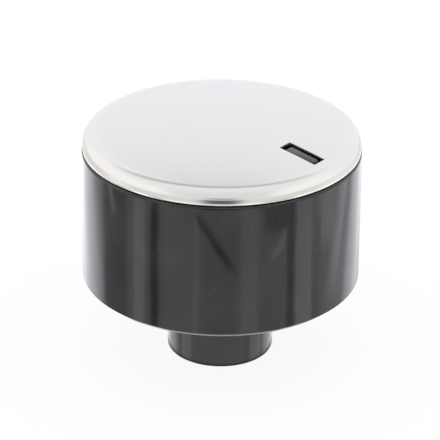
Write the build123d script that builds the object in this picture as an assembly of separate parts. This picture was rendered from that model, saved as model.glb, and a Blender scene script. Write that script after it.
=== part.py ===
from build123d import *
import os
from math import atan2, cos, radians, sin, sqrt, tan

# Control knob with a steel cap. Millimetres, +Z from the hub's end to the cap, +X along the pointer.

# Drum: the moulded grip, its diameter taken at the shoulder under the cap
drum_diameter = 40.0
drum_height = 20.0
drum_draft = 0.6  # degrees, the drum widens to its skirt edge
skirt_wall = 2.0
top_wall = 2.4
skirt_edge_chamfer = 0.5
skirt_root_radius = 1.0
shoulder_radius = 0.25

# Cap: a shallow dome drawn from sheet, with a rolled rim and a pierced slot
sheet = 0.4
cap_step = 0.05  # cap rim inside the drum's edge
shadow_gap = 0.15  # open line between the shoulder and the rim
bond_gap = 0.05  # glue film between the cap and the drum's plug
rim_land = 0.55  # straight rim below the roll
rim_roll = 1.8
dome_radius = 106.0
slot_length = 6.1
slot_width = 2.35
slot_corner = 0.15
slot_centre = 14.2  # from the axis

# Pointer bar: stands in a pocket of the plug and shows through the slot
bar_end_gap = 0.6
bar_side_gap = 0.38
bar_recess = 0.26  # below the cap's outer face
bar_corner = 0.35
bar_edge_radius = 0.25
bar_pocket_margin = 0.3  # pocket wider than the slot, all round
bar_pocket_depth = 1.0  # below the plug
bar_pocket_corner = 0.5

# Spindle that the knob is pushed on: round, with one flat
spindle_diameter = 6.0
spindle_across_flat = 4.6

# Hub: a socket tube inside an outer sleeve, with a ring-shaped core between them
hub_length = 12.0  # below the skirt edge
hub_draft = 1.5  # degrees, above the skirt edge
hub_end_radius = 0.4
hub_root_radius = 0.8
sleeve_wall = 1.8
core_width = 0.9
socket_wall = 1.8
pilot_clearance = 0.25
pilot_length = 8.0
mouth_chamfer = 0.5
socket_clearance = 0.04
flat_clearance = 0.1
socket_floor = 5.0  # below the plug's crown
web_thickness = 1.2
web_setback = 1.0

# Ribs: hold the skirt to the hub and the top wall
rib_count = 4
rib_first_angle = 45.0
rib_thickness = 1.4
rib_setback = 5.0  # above the skirt edge

# Shaft clip: a formed spring leaf behind the socket's flat
clip_thickness = 0.4
clip_width = 3.0
clip_foot = 2.0
clip_ramp = 3.0
clip_crown = 4.0
clip_bend_radius = 1.2
clip_preload = 0.2  # crown past the spindle's flat
clip_inset = 1.0  # above the pilot bore
clip_side_gap = 0.1
clip_seat_gap = 0.03
clip_pocket_depth = 0.9  # behind the flat

# Levels along the axis
skirt_z = hub_length
shoulder_z = skirt_z + drum_height
rim_z = shoulder_z + shadow_gap
roll_z = rim_z + rim_land

# Radii
drum_radius = drum_diameter / 2
skirt_radius = drum_radius + drum_height * tan(radians(drum_draft))
cap_radius = drum_radius - cap_step
spindle_radius = spindle_diameter / 2
pilot_radius = spindle_radius + pilot_clearance
socket_radius = spindle_radius + socket_clearance
tube_radius = pilot_radius + socket_wall
core_radius = tube_radius + core_width
hub_radius = core_radius + sleeve_wall

# Centre of the rolled rim and of the dome that runs into it
roll_centre_r = cap_radius - rim_roll
dome_centre_z = roll_z - sqrt((dome_radius - rim_roll) ** 2 - roll_centre_r**2)
roll_end_angle = atan2(roll_z - dome_centre_z, roll_centre_r)

# Depths below the cap's outer face
plug_inset = sheet + bond_gap
ceiling_inset = plug_inset + top_wall
wall_middle_inset = plug_inset + top_wall / 2
pocket_inset = plug_inset + bar_pocket_depth
bar_root_inset = (pocket_inset + ceiling_inset) / 2

plug_crown_z = dome_centre_z + dome_radius - plug_inset
socket_end_z = plug_crown_z - socket_floor


def dome_z(inset, radius):
    return dome_centre_z + sqrt((dome_radius - inset) ** 2 - radius**2)


def on_roll(inset, angle):
    reach = rim_roll - inset
    return (roll_centre_r + reach * cos(angle), roll_z + reach * sin(angle))


def crown_edges(inset):
    """Rolled rim and dome, set in from the cap's outer face, from the rim to the axis."""
    roll = ThreePointArc(
        on_roll(inset, 0), on_roll(inset, roll_end_angle / 2), on_roll(inset, roll_end_angle)
    )
    half_r = on_roll(inset, roll_end_angle)[0] / 2
    dome = ThreePointArc(
        on_roll(inset, roll_end_angle), (half_r, dome_z(inset, half_r)), (0, dome_z(inset, 0))
    )
    return [roll, dome]


def turned(edges):
    return revolve(Plane.XZ * make_face(edges), Axis.Z)


def crown_solid(inset, base_z):
    rim_r = cap_radius - inset
    outline = Polyline((0, dome_z(inset, 0)), (0, base_z), (rim_r, base_z), (rim_r, roll_z))
    return turned([outline, *crown_edges(inset)])


def rounded(face, point, radius):
    return fillet(face.vertices().sort_by_distance(point)[0], radius)


def bevelled(face, point, length):
    return chamfer(face.vertices().sort_by_distance(point)[0], length)


def upright_box(x_span, y_width, z_span):
    size = (x_span[1] - x_span[0], y_width, z_span[1] - z_span[0])
    return Pos((x_span[0] + x_span[1]) / 2, 0, z_span[0]) * Box(
        *size, align=(Align.CENTER, Align.CENTER, Align.MIN)
    )


def tube(outer, inner, z_span):
    ring = Circle(outer) - Circle(inner)
    return extrude(Pos(0, 0, z_span[0]) * ring, z_span[1] - z_span[0])


def make_shell():
    """Drum, plug and solid hub as one turned section."""
    ceiling_r = drum_radius - skirt_wall
    ceiling_z = dome_z(ceiling_inset, ceiling_r)
    root_r = hub_radius + (ceiling_z - skirt_z) * tan(radians(hub_draft))
    root_z = dome_z(ceiling_inset, root_r)
    middle_r = (root_r + ceiling_r) / 2
    plug_r = cap_radius - plug_inset
    hub_end = (hub_radius, 0)
    hub_root = (root_r, root_z)
    skirt_root = (ceiling_r, ceiling_z)
    skirt_edge = (skirt_radius, skirt_z)
    shoulder = (drum_radius, shoulder_z)
    hub_side = Polyline((0, plug_crown_z), (0, 0), hub_end, (hub_radius, skirt_z), hub_root)
    ceiling = ThreePointArc(hub_root, (middle_r, dome_z(ceiling_inset, middle_r)), skirt_root)
    drum_side = Polyline(
        skirt_root, (skirt_radius - skirt_wall, skirt_z), skirt_edge, shoulder,
        (plug_r, shoulder_z), (plug_r, roll_z),
    )
    face = make_face([hub_side, ceiling, drum_side, *crown_edges(plug_inset)])
    face = rounded(face, hub_end, hub_end_radius)
    face = rounded(face, hub_root, hub_root_radius)
    face = rounded(face, skirt_root, skirt_root_radius)
    face = bevelled(face, skirt_edge, skirt_edge_chamfer)
    face = rounded(face, shoulder, shoulder_radius)
    return revolve(Plane.XZ * face, Axis.Z)


def make_ribs():
    """Radial ribs, ending inside the skirt, the sleeve and the top wall."""
    reach = skirt_radius - skirt_wall / 2
    base_z = skirt_z + rib_setback
    edge = (reach, dome_z(wall_middle_inset, reach))
    middle = (reach / 2, dome_z(wall_middle_inset, reach / 2))
    crown = (0, dome_z(wall_middle_inset, 0))
    room = turned([Polyline(crown, (0, base_z), (reach, base_z), edge), ThreePointArc(edge, middle, crown)])
    blank = upright_box((hub_radius - sleeve_wall / 2, reach), rib_thickness, (base_z, plug_crown_z))
    rib = blank & room
    return [rib.rotate(Axis.Z, rib_first_angle + i * 360 / rib_count) for i in range(rib_count)]


def make_core():
    """Ring-shaped core of the hub, crossed by a web under each rib."""
    core = tube(core_radius, tube_radius, (0, socket_end_z))
    web = upright_box((0, hub_radius), web_thickness, (web_setback, socket_end_z))
    webs = [web.rotate(Axis.Z, rib_first_angle + i * 360 / rib_count) for i in range(rib_count)]
    return core - webs


def make_socket():
    """Pilot bore, then the flatted socket with the clip's pocket behind its flat."""
    flat_x = spindle_across_flat - spindle_radius + flat_clearance
    pocket_x = flat_x + clip_pocket_depth
    mouth = Cone(
        pilot_radius + mouth_chamfer, pilot_radius, mouth_chamfer,
        align=(Align.CENTER, Align.CENTER, Align.MIN),
    )
    pilot = extrude(Circle(pilot_radius), pilot_length)
    depth = socket_end_z - pilot_length
    flatted = extrude(Circle(socket_radius), depth) & upright_box(
        (-flat_x, socket_radius), 2 * socket_radius, (0, depth)
    )
    pocket = upright_box((-pocket_x, 0), clip_width + 2 * clip_side_gap, (0, depth))
    return mouth + pilot + Pos(0, 0, pilot_length) * (flatted + pocket)


def dome_ball(inset):
    return Pos(0, 0, dome_centre_z) * Sphere(dome_radius - inset)


def slot_column(grow_x, grow_y, corner):
    """Upright column on the slot's centre, grown or shrunk from the slot, cut off above the dome."""
    plan = RectangleRounded(slot_length + 2 * grow_x, slot_width + 2 * grow_y, corner)
    return extrude(Pos(slot_centre, 0, 0) * plan, plug_crown_z + top_wall)


def make_bar_pocket():
    """Pocket round the pointer bar, its floor following the dome."""
    column = slot_column(bar_pocket_margin, bar_pocket_margin, bar_pocket_corner)
    return column - dome_ball(pocket_inset)


def make_pointer_bar():
    """Bar rooted in the pocket's floor, its top following the dome just below the cap's outer face."""
    column = slot_column(-bar_end_gap, -bar_side_gap, bar_corner)
    bar = (column & dome_ball(bar_recess)) - dome_ball(bar_root_inset)
    return fillet(bar.faces().sort_by(Axis.Z)[-1].edges(), bar_edge_radius)


def make_knob_body():
    body = make_shell() + make_ribs()
    return body - make_core() - make_socket() - make_bar_pocket() + make_pointer_bar()


def make_steel_cap():
    cup = crown_solid(0, rim_z) - crown_solid(sheet, rim_z)
    plan = Pos(slot_centre, 0, rim_z) * RectangleRounded(slot_length, slot_width, slot_corner)
    return cup - extrude(plan, plug_crown_z)


def make_shaft_clip():
    flat_x = spindle_across_flat - spindle_radius
    half = clip_thickness / 2
    foot_x = -(flat_x + flat_clearance + clip_pocket_depth) + clip_seat_gap + half
    crown_x = -flat_x + clip_preload - half
    runs = [0, clip_foot, clip_ramp, clip_crown, clip_ramp, clip_foot]
    places = [foot_x, foot_x, crown_x, crown_x, foot_x, foot_x]
    start_z = pilot_length + clip_inset
    points = [(x, 0, start_z + sum(runs[: i + 1])) for i, x in enumerate(places)]
    path = FilletPolyline(*points, radius=clip_bend_radius)
    section = Pos(foot_x, 0, start_z) * Rectangle(clip_thickness, clip_width)
    return sweep(section, path)


os.makedirs("parts", exist_ok=True)
export_step(make_knob_body(), "parts/knob_body.step")
export_step(make_steel_cap(), "parts/steel_cap.step")
export_step(make_shaft_clip(), "parts/shaft_clip.step")
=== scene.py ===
import math

import bmesh
import bpy
from mathutils import Matrix, Vector
from mathutils.geometry import delaunay_2d_cdt


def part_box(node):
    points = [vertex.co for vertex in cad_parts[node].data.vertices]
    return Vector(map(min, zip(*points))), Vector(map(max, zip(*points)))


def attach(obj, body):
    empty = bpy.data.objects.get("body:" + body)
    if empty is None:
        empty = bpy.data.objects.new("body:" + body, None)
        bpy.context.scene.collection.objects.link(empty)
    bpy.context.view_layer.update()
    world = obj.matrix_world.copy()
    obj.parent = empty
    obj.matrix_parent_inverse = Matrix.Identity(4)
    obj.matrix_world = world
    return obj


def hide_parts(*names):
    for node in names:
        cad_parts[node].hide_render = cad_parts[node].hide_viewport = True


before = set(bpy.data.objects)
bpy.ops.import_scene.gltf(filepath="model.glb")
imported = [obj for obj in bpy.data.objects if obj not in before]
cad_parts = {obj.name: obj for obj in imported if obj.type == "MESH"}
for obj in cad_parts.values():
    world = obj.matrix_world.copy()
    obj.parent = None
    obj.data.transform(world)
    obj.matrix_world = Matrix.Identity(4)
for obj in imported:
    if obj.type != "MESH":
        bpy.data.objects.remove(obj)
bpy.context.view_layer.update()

mm = 0.001
weldGap = 0.0005  # millimetres between corners that become one
scene = bpy.context.scene
scene.view_settings.view_transform = "Standard"
print("frame loaded:", ", ".join(sorted(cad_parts)))


# Node and mesh helpers, all lengths in millimetres until a piece is finished

def setInputs(tree, node, inputs):
    for socket, value in inputs.items():
        if isinstance(value, bpy.types.NodeSocket):
            tree.links.new(value, node.inputs[socket])
        else:
            node.inputs[socket].default_value = value


def addNode(tree, kind, inputs=None, **settings):
    node = tree.nodes.new(kind)
    for name, value in settings.items():
        setattr(node, name, value)
    setInputs(tree, node, inputs or {})
    return node


def mathNode(tree, operation, first, second=0.0):
    return addNode(tree, "ShaderNodeMath", {0: first, 1: second}, operation=operation).outputs[0]


def plus(tree, first, second):
    return mathNode(tree, "ADD", first, second)


def times(tree, first, second):
    return mathNode(tree, "MULTIPLY", first, second)


def between(low, high, share):
    return low + (high - low) * share


def newPiece(name, verts, edges, faces):
    mesh = bpy.data.meshes.new(name)
    mesh.from_pydata(verts, edges, faces)
    piece = bpy.data.objects.new(name, mesh)
    scene.collection.objects.link(piece)
    return piece


def bakeModifiers(piece):
    graph = bpy.context.evaluated_depsgraph_get()
    baked = bpy.data.meshes.new_from_object(piece.evaluated_get(graph), depsgraph=graph)
    piece.modifiers.clear()
    rough = piece.data
    piece.data = baked
    bpy.data.meshes.remove(rough)


def combine(piece, tool, operation):
    modifier = piece.modifiers.new(operation, "BOOLEAN")
    modifier.operation = operation
    modifier.solver = "EXACT"
    modifier.object = tool
    bakeModifiers(piece)
    bpy.data.objects.remove(tool)


def closeMesh(mesh):
    work = bmesh.new()
    work.from_mesh(mesh)
    bmesh.ops.remove_doubles(work, verts=work.verts, dist=weldGap)
    bmesh.ops.dissolve_degenerate(work, edges=work.edges, dist=weldGap)
    bmesh.ops.recalc_face_normals(work, faces=work.faces)
    openEdges = sum(1 for edge in work.edges if len(edge.link_faces) != 2)
    work.to_mesh(mesh)
    work.free()
    return openEdges


def finishPiece(piece, node, material, sharpAngle):
    mesh = piece.data
    openEdges = closeMesh(mesh)
    mesh.materials.clear()
    mesh.materials.append(material)
    mesh.polygons.foreach_set("material_index", [0] * len(mesh.polygons))
    mesh.transform(Matrix.Scale(mm, 4))
    mesh.shade_smooth()
    mesh.set_sharp_from_angle(angle=math.radians(sharpAngle))
    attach(piece, "root")
    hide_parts(node)
    print("%s: %d faces, %d open edges" % (piece.name, len(mesh.polygons), openEdges))


# Geometry Nodes: a turned outline, copies round the axis, and a leaf along a path

def newGeometryTree(name, sizes):
    tree = bpy.data.node_groups.new(name, "GeometryNodeTree")
    tree.interface.new_socket("Geometry", in_out="INPUT", socket_type="NodeSocketGeometry")
    tree.interface.new_socket("Geometry", in_out="OUTPUT", socket_type="NodeSocketGeometry")
    for label, kind in sizes.items():
        tree.interface.new_socket(label, in_out="INPUT", socket_type="NodeSocket" + kind)
    return tree, addNode(tree, "NodeGroupInput"), addNode(tree, "NodeGroupOutput")


def runTree(piece, tree, sizes):
    modifier = piece.modifiers.new(tree.name, "NODES")
    modifier.node_group = tree
    for item in tree.interface.items_tree:
        if item.in_out == "INPUT" and item.name in sizes:
            modifier[item.identifier] = sizes[item.name]
    bakeModifiers(piece)


def endTree(tree, start, end, geometry):
    real = addNode(tree, "GeometryNodeRealizeInstances", {"Geometry": geometry})
    painted = addNode(tree, "GeometryNodeSetMaterial", {
        "Geometry": real.outputs["Geometry"],
        "Material": start.outputs["Material"],
    })
    tree.links.new(painted.outputs["Geometry"], end.inputs["Geometry"])


def makeTurningTree():
    tree, start, end = newGeometryTree("turnedOutline", {"Segments": "Int", "Material": "Material"})
    outline = start.outputs["Geometry"]
    segments = start.outputs["Segments"]
    size = addNode(tree, "GeometryNodeAttributeDomainSize", {"Geometry": outline})
    columns = plus(tree, segments, 1.0)
    grid = addNode(tree, "GeometryNodeMeshGrid", {
        "Vertices X": size.outputs["Point Count"],
        "Vertices Y": columns,
    })
    index = addNode(tree, "GeometryNodeInputIndex").outputs[0]
    inside = plus(tree, index, 0.5)  # half a step on, so that rounding can't change the row
    row = mathNode(tree, "FLOOR", mathNode(tree, "DIVIDE", inside, columns))
    column = mathNode(tree, "SUBTRACT", index, times(tree, row, columns))
    turn = mathNode(tree, "DIVIDE", times(tree, column, math.tau), segments)
    place = addNode(tree, "GeometryNodeInputPosition").outputs[0]
    point = addNode(tree, "GeometryNodeSampleIndex", {
        "Geometry": outline,
        "Value": place,
        "Index": row,
    }, data_type="FLOAT_VECTOR")
    turned = addNode(tree, "ShaderNodeVectorRotate", {
        "Vector": point.outputs["Value"],
        "Angle": turn,
    }, rotation_type="Z_AXIS")
    moved = addNode(tree, "GeometryNodeSetPosition", {
        "Geometry": grid.outputs["Mesh"],
        "Position": turned.outputs["Vector"],
    })
    closed = addNode(tree, "GeometryNodeMergeByDistance", {
        "Geometry": moved.outputs["Geometry"],
        "Distance": weldGap,
    })
    endTree(tree, start, end, closed.outputs["Geometry"])
    return tree


def makeRingTree():
    tree, start, end = newGeometryTree("aroundAxis", {
        "Count": "Int", "First Angle": "Float", "Material": "Material"})
    spots = addNode(tree, "GeometryNodePoints", {"Count": start.outputs["Count"]})
    index = addNode(tree, "GeometryNodeInputIndex").outputs[0]
    pitch = mathNode(tree, "DIVIDE", math.tau, start.outputs["Count"])
    angle = plus(tree, times(tree, index, pitch), start.outputs["First Angle"])
    turn = addNode(tree, "ShaderNodeCombineXYZ", {"Z": angle})
    copies = addNode(tree, "GeometryNodeInstanceOnPoints", {
        "Points": spots.outputs["Geometry"],
        "Instance": start.outputs["Geometry"],
        "Rotation": turn.outputs["Vector"],
    })
    endTree(tree, start, end, copies.outputs["Instances"])
    return tree


def makeLeafTree():
    tree, start, end = newGeometryTree("leafAlongPath", {
        "Width": "Float", "Thickness": "Float", "Edge Radius": "Float", "Edge Steps": "Int",
        "Material": "Material"})
    path = addNode(tree, "GeometryNodeMeshToCurve", {"Mesh": start.outputs["Geometry"]})
    section = addNode(tree, "GeometryNodeCurvePrimitiveQuadrilateral", {
        "Width": start.outputs["Thickness"],
        "Height": start.outputs["Width"],
    })
    rounded = addNode(tree, "GeometryNodeFilletCurve", {
        "Curve": section.outputs["Curve"],
        "Radius": start.outputs["Edge Radius"],
        "Count": start.outputs["Edge Steps"],
    }, mode="POLY")
    leaf = addNode(tree, "GeometryNodeCurveToMesh", {
        "Curve": path.outputs["Curve"],
        "Profile Curve": rounded.outputs["Curve"],
        "Fill Caps": True,
    })
    endTree(tree, start, end, leaf.outputs["Mesh"])
    return tree


turningTree = makeTurningTree()
ringTree = makeRingTree()
leafTree = makeLeafTree()
print("node trees built")


# Outlines

def roundCorners(corners, steps=5):
    path = []
    for index, (x, z, radius) in enumerate(corners):
        here = Vector((x, z))
        if radius == 0:
            path.append(here)
            continue
        before = (Vector(corners[index - 1][:2]) - here).normalized()
        after = (Vector(corners[index + 1][:2]) - here).normalized()
        half = before.angle(after) / 2
        centre = here + (before + after).normalized() * radius / math.sin(half)
        first = here + before * radius / math.tan(half) - centre
        sweep = first.angle_signed(here + after * radius / math.tan(half) - centre)
        for step in range(steps + 1):
            path.append(centre + Matrix.Rotation(-sweep * step / steps, 2) @ first)
    return path


def holdStraights(path, hold=0.12):
    held = [path[0]]
    for before, after in zip(path, path[1:]):
        run = after - before
        if run.length > 4 * hold:  # extra rings keep the shading of a long wall flat
            held += [before + run.normalized() * hold, after - run.normalized() * hold]
        held.append(after)
    return held


def pathPiece(name, path):
    verts = [(point.x, 0, point.y) for point in path]
    return newPiece(name, verts, [(step, step + 1) for step in range(len(path) - 1)], [])


def turnOutline(name, path, segments, material):
    piece = pathPiece(name, path)
    runTree(piece, turningTree, {"Segments": segments, "Material": material})
    return piece


def rectangleRim(length, width, corner, step, cornerSteps=6):
    rim = []  # each place on a rounded rectangle, with the direction out of it
    sides = ((1, 1, length), (-1, 1, width), (-1, -1, length), (1, -1, width))
    for quarter, (signX, signY, side) in enumerate(sides):
        centre = Vector((signX * (length / 2 - corner), signY * (width / 2 - corner)))
        for part in range(cornerSteps + 1):
            turn = (quarter + part / cornerSteps) * math.pi / 2
            out = Vector((math.cos(turn), math.sin(turn)))
            rim.append((centre + out * corner, out))
        along = Vector((-out.y, out.x))
        run = side - 2 * corner
        count = max(2, round(run / step))
        for part in range(1, count):
            rim.append((centre + out * corner + along * run * part / count, out))
    return rim


def offsetRim(rim, centre, offset):
    return [Vector((centre + place.x + out.x * offset, place.y + out.y * offset)) for place, out in rim]


def quarterRound(radius, steps=4):  # how far aside and how far down, from the top of a rounded edge
    angles = [math.pi / 2 * step / steps for step in range(steps + 1)]
    return [(radius * (1 - math.sin(a)), radius * (1 - math.cos(a))) for a in angles]


def wallFaces(count, rows):  # between closed rings of so many places each
    faces = []
    for row in range(rows - 1):
        low = row * count
        high = low + count
        for step in range(count):
            after = (step + 1) % count
            faces.append((low + step, low + after, high + after, high + step))
    return faces


# Crown: the dome and rolled rim that the cap and the moulding share

crown = dict(
    domeRadius=106.0,
    rollRadius=1.8,
    rimLand=0.55,  # straight rim below the roll
    flare=0.04,  # of the straight rim, out to its edge
    sheet=0.4,
    glueFilm=0.05,
    segments=240,  # round the axis
)
capLow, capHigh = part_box("steel_cap")
rimRadius = capHigh.x / mm
rimHeight = capLow.z / mm
rollHeight = rimHeight + crown["rimLand"]
rollCentre = rimRadius - crown["flare"] - crown["rollRadius"]
domeReach = crown["domeRadius"] - crown["rollRadius"]
domeCentre = rollHeight - math.sqrt(domeReach ** 2 - rollCentre ** 2)
rollEnd = math.atan2(rollHeight - domeCentre, rollCentre)
rimReach = Vector((rimRadius - rollCentre, crown["rimLand"]))
rollStart = math.acos(crown["rollRadius"] / rimReach.length) - math.atan2(rimReach.y, rimReach.x)


def domeHeight(radius, inset=0.0):
    return domeCentre + math.sqrt((crown["domeRadius"] - inset) ** 2 - radius ** 2)


def rollPath(inset, steps, start=0.0):
    reach = crown["rollRadius"] - inset
    angles = [rollEnd + (start - rollEnd) * step / steps for step in range(steps + 1)]
    return [Vector((rollCentre + reach * math.cos(a), rollHeight + reach * math.sin(a))) for a in angles]


def domePath(inset, steps):
    edge = rollPath(inset, 1)[0].x
    radii = [edge * step / steps for step in range(steps)]
    return [Vector((radius, domeHeight(radius, inset))) for radius in radii]


# Finishes

def emptyMaterial(name):
    material = bpy.data.materials.new(name)
    material.use_nodes = True
    tree = material.node_tree
    tree.nodes.clear()
    return material, tree, addNode(tree, "ShaderNodeOutputMaterial")


def newMaterial(name):
    material, tree, output = emptyMaterial(name)
    shader = addNode(tree, "ShaderNodeBsdfPrincipled")
    tree.links.new(shader.outputs["BSDF"], output.inputs["Surface"])
    return material, tree, shader


def millimetres(tree, stretch=(1, 1, 1)):
    place = addNode(tree, "ShaderNodeTexCoord").outputs["Object"]
    scale = [part / mm for part in stretch]
    return addNode(tree, "ShaderNodeMapping", {"Vector": place, "Scale": scale}).outputs["Vector"]


def noiseNode(tree, stretch, scale, detail):
    return addNode(tree, "ShaderNodeTexNoise", {
        "Vector": millimetres(tree, stretch), "Scale": scale, "Detail": detail}).outputs["Fac"]


def remap(tree, value, span, newSpan=(0.0, 1.0)):
    return addNode(tree, "ShaderNodeMapRange", {
        "Value": value, "From Min": span[0], "From Max": span[1], "To Min": newSpan[0], "To Max": newSpan[1]},
        interpolation_type="SMOOTHSTEP").outputs["Result"]


def blendColour(tree, amount, first, second):
    mix = addNode(tree, "ShaderNodeMix", {"Factor": amount}, data_type="RGBA")
    for socket, colour in ((6, first), (7, second)):  # the two colours among the node's inputs
        fixed = not isinstance(colour, bpy.types.NodeSocket)
        setInputs(tree, mix, {socket: (*colour, 1) if fixed else colour})
    return mix.outputs[2]


def addBump(tree, height, distance, strength, before=None):
    bump = addNode(tree, "ShaderNodeBump", {
        "Height": height, "Distance": distance * mm, "Strength": strength})
    if before is not None:
        tree.links.new(before, bump.inputs["Normal"])
    return bump.outputs["Normal"]


def fromAxis(tree):
    flat = millimetres(tree, (1, 1, 0))
    return addNode(tree, "ShaderNodeVectorMath", {0: flat}, operation="LENGTH").outputs["Value"]


def heightOf(tree):
    return addNode(tree, "ShaderNodeSeparateXYZ", {0: millimetres(tree)}).outputs["Z"]


steelLook = dict(
    pale=(0.811, 0.811, 0.813), dark=(0.799, 0.799, 0.801), toneSpan=(0.3, 0.7),
    domeRoughness=(0.27, 0.31), roughSpan=(0.25, 0.75), rimRoughness=0.15, foldRadii=(17.3, 18.4),
    fineLines=dict(stretch=(16, 0.22, 0.22), scale=1.0, detail=3), fineShare=0.6,
    coarseLines=dict(stretch=(2.4, 0.05, 0.05), scale=1.0, detail=2), coarseShare=0.4,
    lineBump=dict(distance=0.004, strength=0.12), rimLines=0.15, anisotropy=0.4,
)


def makeBrushedSteel():
    material, tree, shader = newMaterial("brushedSteel")
    fine = noiseNode(tree, **steelLook["fineLines"])  # brush lines run across the pointer
    coarse = noiseNode(tree, **steelLook["coarseLines"])
    streak = plus(tree, times(tree, fine, steelLook["fineShare"]),
                  times(tree, coarse, steelLook["coarseShare"]))
    onRim = remap(tree, fromAxis(tree), steelLook["foldRadii"])
    onDome = mathNode(tree, "SUBTRACT", 1.0, onRim)
    brushed = remap(tree, streak, steelLook["roughSpan"], steelLook["domeRoughness"])
    rough = plus(tree, times(tree, brushed, onDome), times(tree, onRim, steelLook["rimRoughness"]))
    tone = remap(tree, streak, steelLook["toneSpan"])
    lines = times(tree, streak, plus(tree, onDome, steelLook["rimLines"]))
    across = addNode(tree, "ShaderNodeCombineXYZ", {"X": 1.0})  # highlights spread across the lines
    setInputs(tree, shader, {
        "Base Color": blendColour(tree, tone, steelLook["dark"], steelLook["pale"]),
        "Roughness": rough,
        "Normal": addBump(tree, lines, **steelLook["lineBump"]),
        "Metallic": 1.0,
        "Anisotropic": steelLook["anisotropy"],
        "Tangent": across.outputs["Vector"],
    })
    return material


blackLook = dict(
    colour=(0.0074, 0.0076, 0.0082), refraction=1.55,
    gloss=(0.035, 0.085), smudges=dict(stretch=(1, 1, 1), scale=0.35, detail=4), smudgeSpan=(0.35, 0.75),
    inside=0.42, insideRadius=18.6, insideHeights=(12.2, 33.8), insideFade=3.0,
    # the pointer bar's raised specular levels, from its inner to its outer end, are a painted highlight
    sheen=0.5, barHeight=34.2, barRadii=(11.5, 17.0), barPaintedHighlight=(1.1, 0.6),
    waves=dict(stretch=(1, 1, 0.5), scale=0.12, detail=2), waveBump=dict(distance=0.09, strength=1.0),
    skin=dict(stretch=(1, 1, 1), scale=6.0, detail=3), skinBump=dict(distance=0.012, strength=1.0),
    outsideSkin=0.02,
)
dustLook = dict(
    colour=(0.27, 0.26, 0.25), roughness=0.4,
    bigSpecks=dict(scale=0.55, grain=(0.015, 0.06), left=0.4),
    smallSpecks=dict(scale=1.5, grain=(0.02, 0.1), left=0.5),
    film=(0.032, 0.031, 0.029), filmShare=0.9,
    patches=dict(stretch=(1, 1, 0.7), scale=0.2, detail=4), patchSpan=(0.36, 0.66),
    powder=dict(stretch=(1, 1, 1), scale=4.0, detail=3), powderSpan=(0.35, 0.65), powderShares=(0.3, 1.0),
)


def speckNode(tree, scale, grain, left):
    cells = addNode(tree, "ShaderNodeTexVoronoi", {"Vector": millimetres(tree), "Scale": scale})
    pick = addNode(tree, "ShaderNodeSeparateColor", {0: cells.outputs["Color"]}).outputs["Red"]
    spot = remap(tree, cells.outputs["Distance"], grain, (1.0, 0.0))
    return times(tree, spot, mathNode(tree, "GREATER_THAN", pick, left))


def insideMoulding(tree, radius, height):
    low, high = blackLook["insideHeights"]
    inner = mathNode(tree, "LESS_THAN", radius, blackLook["insideRadius"])
    inner = times(tree, inner, remap(tree, height, (low, low + blackLook["insideFade"])))
    return times(tree, inner, mathNode(tree, "LESS_THAN", height, high))


def addDust(tree):
    patches = remap(tree, noiseNode(tree, **dustLook["patches"]), dustLook["patchSpan"])
    small = times(tree, speckNode(tree, **dustLook["smallSpecks"]), patches)
    speck = mathNode(tree, "MAXIMUM", speckNode(tree, **dustLook["bigSpecks"]), small)
    powder = remap(tree, noiseNode(tree, **dustLook["powder"]),
                   dustLook["powderSpan"], dustLook["powderShares"])
    film = times(tree, times(tree, patches, powder), dustLook["filmShare"])
    dusty = blendColour(tree, film, blackLook["colour"], dustLook["film"])
    return speck, blendColour(tree, speck, dusty, dustLook["colour"])


def makeGlossBlack():
    material, tree, shader = newMaterial("glossBlack")
    radius = fromAxis(tree)
    height = heightOf(tree)
    inner = insideMoulding(tree, radius, height)
    outer = mathNode(tree, "SUBTRACT", 1.0, inner)
    smudge = remap(tree, noiseNode(tree, **blackLook["smudges"]), blackLook["smudgeSpan"], blackLook["gloss"])
    speck, colour = addDust(tree)
    rough = plus(tree, times(tree, smudge, outer), times(tree, inner, blackLook["inside"]))
    waves = noiseNode(tree, **blackLook["waves"])  # of the moulded wall
    wavy = addBump(tree, waves, **blackLook["waveBump"])
    skin = times(tree, noiseNode(tree, **blackLook["skin"]), plus(tree, inner, blackLook["outsideSkin"]))
    # painted highlight: the pointer bar's specular level is raised, most at its inner end
    onBar = mathNode(tree, "GREATER_THAN", height, blackLook["barHeight"])
    extra = [sheen - blackLook["sheen"] for sheen in blackLook["barPaintedHighlight"]]
    barPaintedHighlight = times(tree, onBar, remap(tree, radius, blackLook["barRadii"], extra))
    setInputs(tree, shader, {
        "Base Color": colour,
        "Roughness": plus(tree, rough, times(tree, speck, dustLook["roughness"])),
        "Normal": addBump(tree, skin, **blackLook["skinBump"], before=wavy),
        "Specular IOR Level": plus(tree, barPaintedHighlight, blackLook["sheen"]),
        "IOR": blackLook["refraction"],
    })
    return material


springLook = dict(
    bright=(0.50, 0.49, 0.47), dull=(0.33, 0.33, 0.35),
    stains=dict(stretch=(1, 1, 1), scale=0.8, detail=3), stainSpan=(0.35, 0.65),
    rolling=dict(stretch=(9, 9, 0.3), scale=1.0, detail=3), rollingSpan=(0.3, 0.7),
    roughness=(0.22, 0.38), rollingBump=dict(distance=0.004, strength=0.5),
)


def makeSpringSteel():
    material, tree, shader = newMaterial("springSteel")
    rolled = noiseNode(tree, **springLook["rolling"])  # rolling marks along the leaf
    stain = remap(tree, noiseNode(tree, **springLook["stains"]), springLook["stainSpan"])
    setInputs(tree, shader, {
        "Base Color": blendColour(tree, stain, springLook["dull"], springLook["bright"]),
        "Roughness": remap(tree, rolled, springLook["rollingSpan"], springLook["roughness"]),
        "Normal": addBump(tree, rolled, **springLook["rollingBump"]),
        "Metallic": 1.0,
    })
    return material


brushedSteel = makeBrushedSteel()
glossBlack = makeGlossBlack()
springSteel = makeSpringSteel()
print("finishes made")


# Steel cap: drawn dome with a rolled rim and a pierced slot

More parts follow.
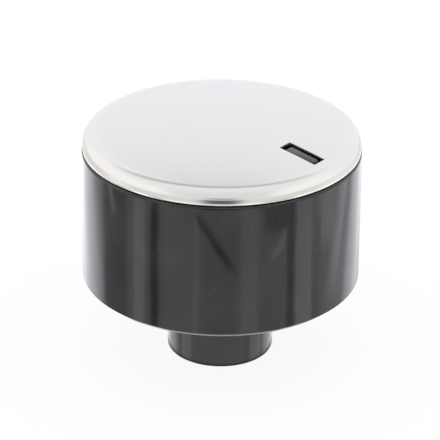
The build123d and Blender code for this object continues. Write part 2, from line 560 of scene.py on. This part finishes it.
slot = dict(length=6.1, width=2.35, corner=0.15, centre=14.2, edge=0.06, step=0.35)
cap = dict(
    outerEdge=0.2,  # of the rim's foot
    innerEdge=0.06,
    rollSteps=14,
    ringStep=0.9,  # between the places of the dome's mesh
    slotRoom=0.9,  # that mesh keeps clear of the slot
    slotGuides=((0.2, 1), (0.55, 2)),  # rings round the slot: how far out, and every how many places
    joinGap=1e-6,
    sameSpot=1e-5,
    sharp=40,  # degrees
)


def insideSlot(spot, margin):
    inLength = abs(spot.x - slot["centre"]) < slot["length"] / 2 + margin
    return inLength and abs(spot.y) < slot["width"] / 2 + margin


def ringOnDome(rim, offset, inset, depth):
    spots = offsetRim(rim, slot["centre"], offset)
    return [(spot.x, spot.y, domeHeight(spot.length, inset) - depth) for spot in spots]


def circleSpots(radius, count, shift=0.0):
    turns = [math.tau * (step + shift) / count for step in range(count)]
    return [Vector((radius * math.cos(turn), radius * math.sin(turn))) for turn in turns]


def loopEdges(first, count):
    return [(first + step, first + (step + 1) % count) for step in range(count)]


def domeSheet(edge, hole, inset):
    points = circleSpots(edge, crown["segments"]) + hole
    edges = loopEdges(0, crown["segments"]) + loopEdges(crown["segments"], len(hole))
    for margin, every in cap["slotGuides"]:
        points += offsetRim(slotRim, slot["centre"], margin)[::every]
    rings = round(edge / cap["ringStep"])
    for ring in range(rings):
        radius = edge * ring / rings
        count = max(1, round(math.tau * radius / cap["ringStep"]))
        spots = circleSpots(radius, count, ring % 2 / 2)  # each second ring is turned by half a step
        points += [spot for spot in spots if not insideSlot(spot, cap["slotRoom"])]
    flat = delaunay_2d_cdt(points, edges, [], 0, cap["joinGap"])
    places = flat[0]
    faces = []
    for face in flat[2]:
        corners = [places[corner] for corner in face]
        middle = sum(corners, Vector((0, 0))) / len(corners)
        onHole = all(min((corner - spot).length for spot in hole) < cap["sameSpot"] for corner in corners)
        if not (onHole and insideSlot(middle, slot["edge"])):
            faces.append(face)
    return [(place.x, place.y, domeHeight(place.length, inset)) for place in places], faces


def addPart(work, verts, faces):
    made = [work.verts.new(vert) for vert in verts]
    for face in faces:
        work.faces.new([made[corner] for corner in face])


def makeSteelCap():
    sheet = crown["sheet"]
    outer = rollPath(0, cap["rollSteps"], rollStart)
    inner = rollPath(sheet, cap["rollSteps"])
    lower = [
        (outer[-1].x, outer[-1].y, 0),
        (rimRadius, rimHeight, cap["outerEdge"]),
        (inner[-1].x, rimHeight, cap["innerEdge"]),
        (inner[-1].x, rollHeight, 0),
    ]
    path = outer[:-1] + holdStraights(roundCorners(lower)) + inner[-2::-1]
    piece = turnOutline("steelCap", path, crown["segments"], brushedSteel)
    rings = [ringOnDome(slotRim, aside, 0, down) for aside, down in quarterRound(slot["edge"])]
    rings.append(ringOnDome(slotRim, 0, sheet, 0))
    work = bmesh.new()
    work.from_mesh(piece.data)
    addPart(work, [spot for ring in rings for spot in ring], wallFaces(len(slotRim), len(rings)))
    addPart(work, *domeSheet(outer[0].x, offsetRim(slotRim, slot["centre"], slot["edge"]), 0))
    addPart(work, *domeSheet(inner[0].x, offsetRim(slotRim, slot["centre"], 0), sheet))
    work.to_mesh(piece.data)
    work.free()
    finishPiece(piece, "steel_cap", brushedSteel, cap["sharp"])


slotRim = rectangleRim(slot["length"], slot["width"], slot["corner"], slot["step"])
makeSteelCap()


# Moulded body: drum, plug, hollow skirt and cored hub, turned as one outline

drum = dict(
    radius=20.0,  # at the shoulder
    skirtHeight=12.0,  # skirt edge above the hub's end
    shadowGap=0.15,  # open line under the cap
    shoulderEdge=0.25,
    skirtBevel=0.5,
    skirtWall=2.0,
    topWall=2.4,
    skirtRoot=1.0,
    smallEdge=0.08,
    plugSteps=12,
    plugRollSteps=8,
    ceilingSteps=6,
    sharp=30,  # degrees
)
hub = dict(
    sleeveWall=1.8, coreWidth=0.9, socketWall=1.8, pilotRadius=3.25, pilotLength=8.0,
    mouth=0.5, endEdge=0.4, rootEdge=0.8, draft=1.5, socketFloor=5.0, coreEdge=0.3,
)
ribs = dict(count=4, firstAngle=45.0, thickness=1.4, setback=5.0, edge=0.3)
webs = dict(thickness=1.2, setback=1.0, edge=0.2, overlap=0.4)
socket = dict(radius=3.04, flat=1.7, pocketDepth=0.9, pocketWidth=3.2, steps=36, overlap=0.5)
bar = dict(endGap=0.6, sideGap=0.38, recess=0.26, corner=0.35, edge=0.25)
pocket = dict(margin=0.3, depth=1.0, corner=0.5)  # round the pointer bar

plugInset = crown["sheet"] + crown["glueFilm"]
ceilingInset = plugInset + drum["topWall"]
wallMiddle = plugInset + drum["topWall"] / 2
pocketInset = plugInset + pocket["depth"]
barRoot = (pocketInset + ceilingInset) / 2
tubeRadius = hub["pilotRadius"] + hub["socketWall"]
coreRadius = tubeRadius + hub["coreWidth"]
hubRadius = coreRadius + hub["sleeveWall"]
socketEnd = domeHeight(0, plugInset) - hub["socketFloor"]
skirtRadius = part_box("knob_body")[1].x / mm


def bodyOutline():
    small = drum["smallEdge"]
    shoulderHeight = rimHeight - drum["shadowGap"]
    skirtHeight = drum["skirtHeight"]
    plugRadius = rollPath(plugInset, 1)[-1].x
    ceilingRadius = drum["radius"] - drum["skirtWall"]
    ceilingHeight = domeHeight(ceilingRadius, ceilingInset)
    rootRadius = hubRadius + (ceilingHeight - skirtHeight) * math.tan(math.radians(hub["draft"]))
    shares = [step / drum["ceilingSteps"] for step in range(1, drum["ceilingSteps"])]
    radii = [between(ceilingRadius, rootRadius, share) for share in shares]
    corners = [
        (plugRadius, rollHeight, 0),
        (plugRadius, shoulderHeight, small),
        (drum["radius"], shoulderHeight, drum["shoulderEdge"]),
        (skirtRadius, skirtHeight + drum["skirtBevel"], small),
        (skirtRadius - drum["skirtBevel"], skirtHeight, small),
        (skirtRadius - drum["skirtWall"], skirtHeight, small),
        (ceilingRadius, ceilingHeight, drum["skirtRoot"]),
        *[(radius, domeHeight(radius, ceilingInset), 0) for radius in radii],
        (rootRadius, domeHeight(rootRadius, ceilingInset), hub["rootEdge"]),
        (hubRadius, skirtHeight, 0),
        (hubRadius, 0, hub["endEdge"]),
        (coreRadius, 0, small),
        (coreRadius, socketEnd, hub["coreEdge"]),
        (tubeRadius, socketEnd, hub["coreEdge"]),
        (tubeRadius, 0, small),
        (hub["pilotRadius"] + hub["mouth"], 0, small),
        (hub["pilotRadius"], hub["mouth"], small),
        (hub["pilotRadius"], hub["pilotLength"], 0),
        (0, hub["pilotLength"], 0),
    ]
    plug = domePath(plugInset, drum["plugSteps"]) + rollPath(plugInset, drum["plugRollSteps"])[:-1]
    return plug + holdStraights(roundCorners(corners))


def stackRings(name, rings):
    count = len(rings[0])
    last = (len(rings) - 1) * count
    faces = wallFaces(count, len(rings))
    faces += [tuple(range(count)), tuple(range(last + count - 1, last - 1, -1))]
    piece = newPiece(name, [spot for ring in rings for spot in ring], [], faces)
    piece.data.materials.append(glossBlack)
    closeMesh(piece.data)
    return piece


def makeSlabs(name, ends, thickness, edge):
    half = thickness / 2
    section = roundCorners([(-half, 1, 0), (-half, 0, edge), (half, 0, edge), (half, 1, 0)])
    rings = [
        [(radius, place.x, high if place.y == 1 else low + place.y) for place in section]
        for radius, low, high in ends
    ]
    slabs = stackRings(name, rings)
    runTree(slabs, ringTree, {
        "Count": ribs["count"], "First Angle": math.radians(ribs["firstAngle"]), "Material": glossBlack})
    return slabs


def makeRibs():
    radii = (hubRadius - hub["sleeveWall"] / 2, skirtRadius - drum["skirtWall"] / 2)
    low = drum["skirtHeight"] + ribs["setback"]
    ends = [(radius, low, domeHeight(radius, wallMiddle)) for radius in radii]
    return makeSlabs("ribs", ends, ribs["thickness"], ribs["edge"])


def makeWebs():
    overlap = webs["overlap"]
    radii = (tubeRadius - overlap, coreRadius + overlap)
    ends = [(radius, webs["setback"], socketEnd + overlap) for radius in radii]
    return makeSlabs("webs", ends, webs["thickness"], webs["edge"])


def makeSocketTool():
    radius = socket["radius"]
    flat = -socket["flat"]
    back = flat - socket["pocketDepth"]
    side = socket["pocketWidth"] / 2
    reach = math.acos(flat / radius)
    turns = [reach * step / socket["steps"] for step in range(-socket["steps"], socket["steps"] + 1)]
    plan = [(radius * math.cos(turn), radius * math.sin(turn)) for turn in turns]
    plan += [(flat, side), (back, side), (back, -side), (flat, -side)]
    heights = (hub["pilotLength"] - socket["overlap"], socketEnd)
    return stackRings("socketTool", [[(x, y, height) for x, y in plan] for height in heights])


def makePocketTool():
    grow = 2 * pocket["margin"]
    rim = rectangleRim(slot["length"] + grow, slot["width"] + grow, pocket["corner"], slot["step"])
    return stackRings("pocketTool", [ringOnDome(rim, 0, 0, 0), ringOnDome(rim, 0, pocketInset, 0)])


def makePointerBar():
    length = slot["length"] - 2 * bar["endGap"]
    width = slot["width"] - 2 * bar["sideGap"]
    rim = rectangleRim(length, width, bar["corner"], slot["step"])
    rings = [ringOnDome(rim, -aside, bar["recess"], down) for aside, down in quarterRound(bar["edge"])]
    return stackRings("pointerBar", rings + [ringOnDome(rim, 0, barRoot, 0)])


def makeKnobBody():
    piece = turnOutline("knobBody", bodyOutline(), crown["segments"], glossBlack)
    closeMesh(piece.data)
    combine(piece, makeWebs(), "UNION")
    combine(piece, makeRibs(), "UNION")
    combine(piece, makePocketTool(), "DIFFERENCE")
    combine(piece, makePointerBar(), "UNION")
    combine(piece, makeSocketTool(), "DIFFERENCE")
    finishPiece(piece, "knob_body", glossBlack, drum["sharp"])


makeKnobBody()


# Shaft clip: a formed spring leaf behind the socket's flat

clip = dict(
    thickness=0.4, width=3.0, edge=0.12, edgeSteps=4, foot=2.0, ramp=3.0, crest=4.0, bend=1.2,
    low=9.0,  # above the hub's end
    footPlace=-2.37,
    crestPlace=-1.6,
    sharp=40,  # degrees
)


def makeShaftClip():
    runs = [0, clip["foot"], clip["ramp"], clip["crest"], clip["ramp"], clip["foot"]]
    heights = [clip["low"] + sum(runs[:step + 1]) for step in range(len(runs))]
    feet = [clip["footPlace"]] * 2
    places = feet + [clip["crestPlace"]] * 2 + feet
    bends = [0] + [clip["bend"]] * 4 + [0]
    piece = pathPiece("shaftClip", roundCorners(list(zip(places, heights, bends))))
    runTree(piece, leafTree, {
        "Width": clip["width"], "Thickness": clip["thickness"], "Edge Radius": clip["edge"],
        "Edge Steps": clip["edgeSteps"], "Material": springSteel})
    finishPiece(piece, "shaft_clip", springSteel, clip["sharp"])


makeShaftClip()


# Camera at the photograph's viewing angle

view = dict(
    azimuth=38.5, elevation=26.525, roll=0.575, distance=329.2, side=-0.157, height=20.2,
    lens=185.63, sensor=36.0,
    nearest=0.01,  # metres
)
viewTurn = math.radians(view["azimuth"])
viewFront = Vector((math.sin(viewTurn), -math.cos(viewTurn), 0))
viewRight = Vector((math.cos(viewTurn), math.sin(viewTurn), 0))


def makeCamera():
    elevation = math.radians(view["elevation"])
    roll = math.radians(view["roll"])
    level = math.cos(elevation)
    back = Vector((math.sin(viewTurn) * level, -math.cos(viewTurn) * level, math.sin(elevation)))
    up = back.cross(viewRight)
    tiltedRight = math.cos(roll) * viewRight + math.sin(roll) * up
    tiltedUp = math.cos(roll) * up - math.sin(roll) * viewRight
    place = viewRight * view["side"] * mm + Vector((0, 0, view["height"] * mm)) + back * view["distance"] * mm
    data = bpy.data.cameras.new("photoCamera")
    data.sensor_width = view["sensor"]
    data.lens = view["lens"]
    data.clip_start = view["nearest"]
    camera = bpy.data.objects.new("photoCamera", data)
    scene.collection.objects.link(camera)
    camera.matrix_world = Matrix((
        (tiltedRight.x, tiltedUp.x, back.x, place.x),
        (tiltedRight.y, tiltedUp.y, back.y, place.y),
        (tiltedRight.z, tiltedUp.z, back.z, place.z),
        (0, 0, 0, 1),
    ))
    scene.camera = camera


makeCamera()


# Light tent: panels that only reflections meet, placed by where they show on an upright wall

cool = (0.965, 0.985, 1.03)
warm = (1.0, 0.97, 0.885)
drumWall = dict(radius=drum["radius"], draft=0.6, heights=(32.0, 11.0), tint=cool)
stubWall = dict(radius=hubRadius, draft=0.0, heights=(12.5, -0.5), tint=cool)
rimWall = dict(drumWall, heights=(110.0, 32.1), tint=warm)  # sees the floor out to the far side

# Degrees right of the front at the top and foot, half width, brightness, softness, own heights on the wall
drumPanels = [
    dict(top=-73, foot=-67, half=17, tone=2.0, soft=0.7),
    dict(top=-47.5, foot=-47, half=9.5, tone=0.55, soft=0.5),
    dict(top=-52, foot=-47, half=2.4, tone=1.0, soft=0.8, heights=(34, 27)),
    dict(top=-34.2, half=3.6, tone=1.5, soft=0.5),
    dict(top=-27, half=3.1, tone=0.38, soft=0.8),
    dict(top=-15.6, half=8, tone=1.12, soft=0.3),
    dict(top=-9.8, half=1.7, tone=1.3, soft=0.6),
    dict(top=-0.5, half=7.2, tone=0.95, soft=0.2),
    dict(top=-11.2, foot=6.8, half=2.8, tone=0.38, soft=0.9, heights=(32, 21)),
    dict(top=11.5, half=5, tone=1.3, soft=0.6),
    dict(top=22.5, foot=23.5, half=7.5, tone=0.52, soft=0.5, heights=(35, 26.5)),
    dict(top=30, foot=19, half=3, tone=1.4, soft=0.8, heights=(29, 22)),
    dict(top=28.5, foot=28.4, half=2.3, tone=0.55, soft=0.7),
    dict(top=34.8, half=4.4, tone=1.5, soft=0.25),
    dict(top=48, foot=45, half=9, tone=1.45, soft=0.8, heights=(41, 21)),
    dict(top=42, foot=41.5, half=2.6, tone=0.9, soft=0.6, heights=(31, 9)),
    dict(top=69, foot=49, half=7, tone=1.6, soft=0.9, heights=(53, 11)),
    dict(top=75, foot=53, half=3, tone=1.0, soft=1.0, heights=(53, 13)),
    dict(top=74, foot=67, half=11, tone=1.65, soft=0.5),
]
stubPanels = [
    dict(top=-2, half=32, tone=1.12, soft=0.1),
    dict(top=-68, half=19, tone=1.7, soft=0.5),
    dict(top=-39, half=8, tone=1.5, soft=0.35),
    dict(top=42, half=9.5, tone=1.5, soft=0.35),
    dict(top=68, half=19, tone=1.6, soft=0.5),
]
rimPanels = [
    dict(top=0, half=80, tone=0.84, soft=0.1),
    dict(top=-45, half=11, tone=1.02, soft=0.9),
    dict(top=-80, half=15, tone=0.98, soft=0.9),
    dict(top=56, half=24, tone=0.96, soft=0.7),
    dict(top=0, half=11, tone=0.12, soft=0.7),
]
panelGrid = dict(across=12, perDegree=0.6, along=16, lift=0.02, endFade=0.5)


def floorSeen(wall, turn, height):
    draft = math.radians(wall["draft"])
    out = math.sin(turn) * viewRight + math.cos(turn) * viewFront
    normal = out * math.cos(draft) + Vector((0, 0, math.sin(draft)))
    spot = out * wall["radius"] + Vector((0, 0, height))
    away = (spot - scene.camera.matrix_world.translation / mm).normalized()
    bounced = away - 2 * away.dot(normal) * normal
    return spot - bounced * spot.z / bounced.z


def stageOnlyReflected(obj):
    obj.visible_camera = False
    obj.visible_diffuse = False
    obj.visible_shadow = False
    obj.visible_transmission = False


def makePanelLook():
    material, tree, output = emptyMaterial("tentPanel")
    cover = addNode(tree, "ShaderNodeAttribute", attribute_name="cover").outputs["Fac"]
    colour = addNode(tree, "ShaderNodeAttribute", attribute_name="glow").outputs["Color"]
    clear = addNode(tree, "ShaderNodeBsdfTransparent")
    glow = addNode(tree, "ShaderNodeEmission", {"Color": colour})
    mix = addNode(tree, "ShaderNodeMixShader", {0: cover, 1: clear.outputs[0], 2: glow.outputs[0]})
    tree.links.new(mix.outputs[0], output.inputs["Surface"])
    return material


def easeEdge(part, soft):
    share = min(1.0, (1 - abs(2 * part - 1)) / soft)
    return share * share * (3 - 2 * share)


def addPanel(name, corner, cover, rows, columns, colour):
    spots = [(row / rows, column / columns) for row in range(rows + 1) for column in range(columns + 1)]
    verts = [corner(*spot) * mm for spot in spots]
    wide = columns + 1
    starts = [row * wide + column for row in range(rows) for column in range(columns)]
    faces = [(start, start + 1, start + wide + 1, start + wide) for start in starts]
    panel = newPiece(name, verts, [], faces)
    shares = panel.data.attributes.new("cover", "FLOAT", "POINT")
    shares.data.foreach_set("value", [cover(*spot) for spot in spots])
    glow = panel.data.attributes.new("glow", "FLOAT_COLOR", "POINT")
    glow.data.foreach_set("color", [*colour, 1.0] * len(spots))
    panel.data.materials.append(panelLook)
    stageOnlyReflected(panel)


def makeFloorPanel(name, wall, panel, level):
    high, low = panel.get("heights", wall["heights"])
    foot = panel.get("foot", panel["top"])

    def corner(along, across):
        turn = between(panel["top"], foot, along) + panel["half"] * (2 * across - 1)
        spot = floorSeen(wall, math.radians(turn), between(high, low, along))
        return spot + Vector((0, 0, panelGrid["lift"] * level))

    def cover(along, across):
        ends = easeEdge(along, panelGrid["endFade"]) if "heights" in panel else 1.0
        return easeEdge(across, panel["soft"]) * ends

    colour = [panel["tone"] * part for part in wall["tint"]]
    columns = panelGrid["across"] + round(panel["half"] * panelGrid["perDegree"])
    addPanel(name, corner, cover, panelGrid["along"], columns, colour)


def makeFloorPanels(name, wall, panels, firstLevel=1):
    for number, panel in enumerate(panels):
        makeFloorPanel("%s%d" % (name, number), wall, panel, firstLevel + number)
    print("%s: %d floor panels" % (name, len(panels)))


# Painted contact shadow: a dark ring where the hub meets the floor, which only reflections meet

paintedContactShadow = dict(inner=7.3, outer=9.0, lift=0.12, tone=0.2, soft=0.9, rows=6, columns=96)


def makePaintedContactShadow():
    def corner(along, across):
        radius = between(paintedContactShadow["inner"], paintedContactShadow["outer"], along)
        turn = math.tau * across
        return Vector((radius * math.cos(turn), radius * math.sin(turn), paintedContactShadow["lift"]))

    def cover(along, across):
        return easeEdge((1 + along) / 2, paintedContactShadow["soft"])  # fades outwards only

    # painted shadow: dark grey round the hub's foot, seen in the hub's reflection
    grey = (paintedContactShadow["tone"],) * 3
    addPanel("paintedContactShadow", corner, cover, paintedContactShadow["rows"], paintedContactShadow["columns"], grey)


# Overhead gap of the tent, seen along the fold of the rim, and the dark camera side

gap = dict(
    height=400.0, low=42.0, high=80.0, left=-400.0, right=330.0, tone=0.5, soft=0.9, ends=0.95,
    rows=24, columns=12,
)
cameraSide = dict(distance=300.0, half=105.0, low=-2.0, high=90.0, tone=0.3, soft=0.9, rows=16, columns=12)


def makeGap():
    def corner(along, across):
        lift = math.radians(between(gap["low"], gap["high"], across))
        side = between(gap["left"], gap["right"], along)
        behind = gap["height"] / math.tan(lift)
        return viewRight * side - viewFront * behind + Vector((0, 0, gap["height"] + rimHeight))

    def cover(along, across):
        return easeEdge(across, gap["soft"]) * easeEdge(along, gap["ends"])

    grey = (gap["tone"],) * 3
    addPanel("tentGap", corner, cover, gap["rows"], gap["columns"], grey)


def makeCameraSide():
    def corner(along, across):
        side = cameraSide["half"] * (2 * along - 1)
        high = between(cameraSide["low"], cameraSide["high"], across)
        return viewRight * side + viewFront * cameraSide["distance"] + Vector((0, 0, rimHeight + high))

    def cover(along, across):
        return easeEdge(across, cameraSide["soft"]) * easeEdge(along, cameraSide["soft"])

    grey = (cameraSide["tone"],) * 3
    addPanel("cameraSide", corner, cover, cameraSide["rows"], cameraSide["columns"], grey)


panelLook = makePanelLook()
makeFloorPanels("drumPanel", drumWall, drumPanels)
makeFloorPanels("stubPanel", stubWall, stubPanels)
makeFloorPanels("rimPanel", rimWall, rimPanels, len(drumPanels) + 1)  # above the drum's
makePaintedContactShadow()
makeGap()
makeCameraSide()


# Floor and sky

floorLook = dict(halfSize=3.0, albedo=0.1, lift=0.91)
skyLook = dict(
    behindLow=(1.025, 1.02, 1.06), behindHigh=(1.015, 1.01, 1.0), behindHeights=(0.1, 0.75),
    sideLow=(1.11, 1.085, 1.05), sideHigh=(0.955, 0.95, 0.93), sideHeights=(0.5, 0.95),
    sideFrom=(-0.75, -0.3), sideLean=0.4,  # share of the way towards the camera, further on the left
    front=(0.86, 0.855, 0.835), frontFrom=(0.1, 0.75), frontWidth=(0.48, 0.78),
)


def makeFloor():
    half = floorLook["halfSize"]
    corners = [(-half, -half, 0), (half, -half, 0), (half, half, 0), (-half, half, 0)]
    floor = newPiece("floor", corners, [], [(0, 1, 2, 3)])
    material, tree, shader = newMaterial("paleFloor")
    path = addNode(tree, "ShaderNodeLightPath").outputs
    seen = mathNode(tree, "MAXIMUM", path["Is Camera Ray"], path["Is Glossy Ray"])
    seen = mathNode(tree, "MAXIMUM", seen, path["Is Transmission Ray"])
    setInputs(tree, shader, {
        "Base Color": (floorLook["albedo"],) * 3 + (1,),
        "Roughness": 1.0,
        "Specular IOR Level": 0.0,
        "Emission Color": blendColour(tree, path["Is Glossy Ray"], (1, 1, 1), cool),
        "Emission Strength": times(tree, seen, floorLook["lift"]),
    })
    floor.data.materials.append(material)


def makeWorld():
    world = bpy.data.worlds.new("studio")
    scene.world = world
    world.use_nodes = True
    tree = world.node_tree
    tree.nodes.clear()
    output = addNode(tree, "ShaderNodeOutputWorld")
    way = addNode(tree, "ShaderNodeTexCoord").outputs["Generated"]
    height = addNode(tree, "ShaderNodeSeparateXYZ", {0: way}).outputs["Z"]
    towards, aside = [
        addNode(tree, "ShaderNodeVectorMath", {0: way, 1: line}, operation="DOT_PRODUCT").outputs["Value"]
        for line in (viewFront, viewRight)
    ]
    behind = blendColour(tree, remap(tree, height, skyLook["behindHeights"]),
                         skyLook["behindLow"], skyLook["behindHigh"])
    beside = blendColour(tree, remap(tree, height, skyLook["sideHeights"]),
                         skyLook["sideLow"], skyLook["sideHigh"])
    lean = mathNode(tree, "SUBTRACT", towards, times(tree, aside, skyLook["sideLean"]))
    tone = blendColour(tree, remap(tree, lean, skyLook["sideFrom"]), behind, beside)
    inFront = times(tree, remap(tree, towards, skyLook["frontFrom"]),
                    remap(tree, mathNode(tree, "ABSOLUTE", aside), skyLook["frontWidth"], (1.0, 0.0)))
    tone = blendColour(tree, inFront, tone, skyLook["front"])
    light = addNode(tree, "ShaderNodeBackground", {"Color": tone})
    tree.links.new(light.outputs[0], output.inputs["Surface"])


makeFloor()
makeWorld()
print("camera, floor and light set")
